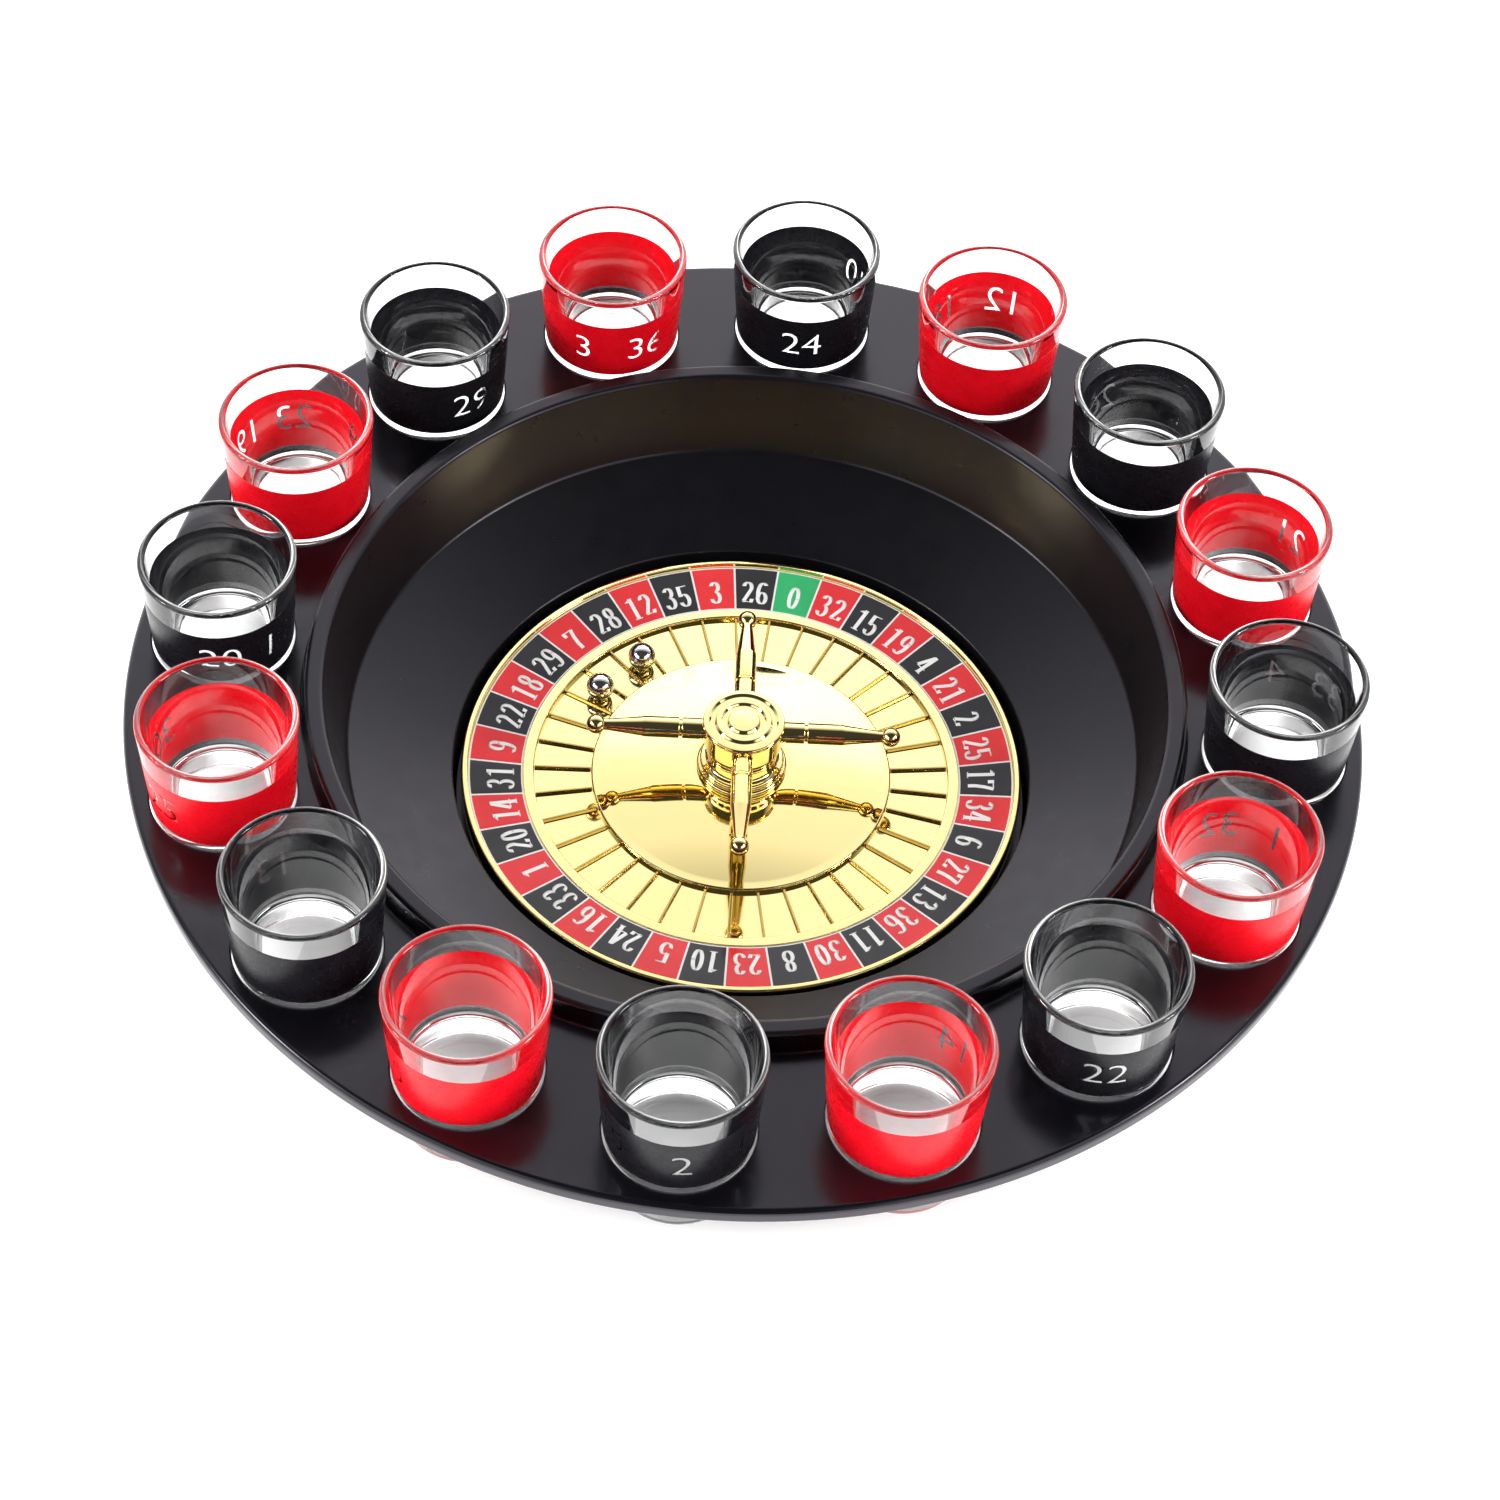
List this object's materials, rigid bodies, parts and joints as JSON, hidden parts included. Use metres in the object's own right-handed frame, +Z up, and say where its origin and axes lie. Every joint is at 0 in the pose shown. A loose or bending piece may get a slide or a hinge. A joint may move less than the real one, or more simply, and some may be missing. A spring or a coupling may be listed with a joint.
{
  "type": "roulette wheel",
  "caption": "Tabletop roulette wheel: black bowl tray with a spinning gold rotor, turret and balls, and lift-out shot glasses standing in holes round its flange.",
  "frame": {"origin": "centre of the tray on the table plane that the rubber feet stand on", "axes": "+Z up along the spindle, which is the axis of the rotor and of the tray; at rest the first arm of the turret points along +X, turned one degree towards +Y"},
  "size_m": [0.3, 0.3, 0.0716],
  "materials": {
    "black_plastic": "moulded black plastic, satin to semi-gloss",
    "black_rubber": "matt soft rubber",
    "zinc_steel": "zinc-plated, brushed",
    "dark_steel": "black oxide",
    "nylon": "natural nylon, matt",
    "gold_mirror": "plastic with a vacuum-metallised pale gold mirror plating",
    "gold_satin": "plastic with the same gold plating, unpolished underside",
    "printed_label": "printed film in red, black and green cells with white numbers",
    "brass": "turned brass",
    "polished_steel": "mirror-polished steel",
    "black_painted_glass": "clear pressed glass with a gloss black painted band, numbers left clear",
    "red_painted_glass": "clear pressed glass with a gloss red painted band, numbers left clear"
  },
  "bodies": {
    "tray": {"tray_flange": "black_plastic", "bowl_wall": "black_plastic", "bowl_floor": "black_plastic", "rotor_well": "black_plastic", "rubber_feet": "black_rubber", "spindle": "zinc_steel", "spindle_washer": "zinc_steel", "spindle_nut": "zinc_steel", "thrust_washer": "nylon", "retaining_clip": "dark_steel"},
    "rotor": {"rotor_pan": "gold_satin", "rotor_rim": "gold_mirror", "number_ring": "printed_label", "pocket_frets": "gold_mirror", "rotor_cone": "gold_mirror", "hub_bush": "brass", "rotor_screws": "dark_steel", "turret_base": "gold_mirror", "turret_column": "gold_mirror", "turret_cap": "gold_mirror", "arm_1": "gold_mirror", "arm_2": "gold_mirror", "arm_3": "gold_mirror", "arm_4": "gold_mirror"},
    "ball_1": {"ball_1": "polished_steel"},
    "ball_2": {"ball_2": "polished_steel"},
    "glass_01": {"glass_01": "black_painted_glass"},
    "glass_02": {"glass_02": "red_painted_glass"},
    "glass_03": {"glass_03": "black_painted_glass"},
    "glass_04": {"glass_04": "red_painted_glass"},
    "glass_05": {"glass_05": "black_painted_glass"},
    "glass_06": {"glass_06": "red_painted_glass"},
    "glass_07": {"glass_07": "black_painted_glass"},
    "glass_08": {"glass_08": "red_painted_glass"},
    "glass_09": {"glass_09": "black_painted_glass"},
    "glass_10": {"glass_10": "red_painted_glass"},
    "glass_11": {"glass_11": "black_painted_glass"},
    "glass_12": {"glass_12": "red_painted_glass"},
    "glass_13": {"glass_13": "black_painted_glass"},
    "glass_14": {"glass_14": "red_painted_glass"},
    "glass_15": {"glass_15": "black_painted_glass"},
    "glass_16": {"glass_16": "red_painted_glass"}
  },
  "joints": [
    {"name": "rotor_spin", "type": "hinge", "parent": "tray", "child": "rotor", "pos_m": [0, 0, 0.012], "axis": [0, 0, 1], "continuous": true},
    {"name": "ball_1_lift", "type": "slide", "parent": "rotor", "child": "ball_1", "axis": [0, 0, 1], "range_m": [0, 0.06]},
    {"name": "ball_2_lift", "type": "slide", "parent": "rotor", "child": "ball_2", "axis": [0, 0, 1], "range_m": [0, 0.06]},
    {"name": "glass_01_lift", "type": "slide", "parent": "tray", "child": "glass_01", "axis": [0, 0, 1], "range_m": [0, 0.06]},
    {"name": "glass_02_lift", "type": "slide", "parent": "tray", "child": "glass_02", "axis": [0, 0, 1], "range_m": [0, 0.06]},
    {"name": "glass_03_lift", "type": "slide", "parent": "tray", "child": "glass_03", "axis": [0, 0, 1], "range_m": [0, 0.06]},
    {"name": "glass_04_lift", "type": "slide", "parent": "tray", "child": "glass_04", "axis": [0, 0, 1], "range_m": [0, 0.06]},
    {"name": "glass_05_lift", "type": "slide", "parent": "tray", "child": "glass_05", "axis": [0, 0, 1], "range_m": [0, 0.06]},
    {"name": "glass_06_lift", "type": "slide", "parent": "tray", "child": "glass_06", "axis": [0, 0, 1], "range_m": [0, 0.06]},
    {"name": "glass_07_lift", "type": "slide", "parent": "tray", "child": "glass_07", "axis": [0, 0, 1], "range_m": [0, 0.06]},
    {"name": "glass_08_lift", "type": "slide", "parent": "tray", "child": "glass_08", "axis": [0, 0, 1], "range_m": [0, 0.06]},
    {"name": "glass_09_lift", "type": "slide", "parent": "tray", "child": "glass_09", "axis": [0, 0, 1], "range_m": [0, 0.06]},
    {"name": "glass_10_lift", "type": "slide", "parent": "tray", "child": "glass_10", "axis": [0, 0, 1], "range_m": [0, 0.06]},
    {"name": "glass_11_lift", "type": "slide", "parent": "tray", "child": "glass_11", "axis": [0, 0, 1], "range_m": [0, 0.06]},
    {"name": "glass_12_lift", "type": "slide", "parent": "tray", "child": "glass_12", "axis": [0, 0, 1], "range_m": [0, 0.06]},
    {"name": "glass_13_lift", "type": "slide", "parent": "tray", "child": "glass_13", "axis": [0, 0, 1], "range_m": [0, 0.06]},
    {"name": "glass_14_lift", "type": "slide", "parent": "tray", "child": "glass_14", "axis": [0, 0, 1], "range_m": [0, 0.06]},
    {"name": "glass_15_lift", "type": "slide", "parent": "tray", "child": "glass_15", "axis": [0, 0, 1], "range_m": [0, 0.06]},
    {"name": "glass_16_lift", "type": "slide", "parent": "tray", "child": "glass_16", "axis": [0, 0, 1], "range_m": [0, 0.06]}
  ]
}
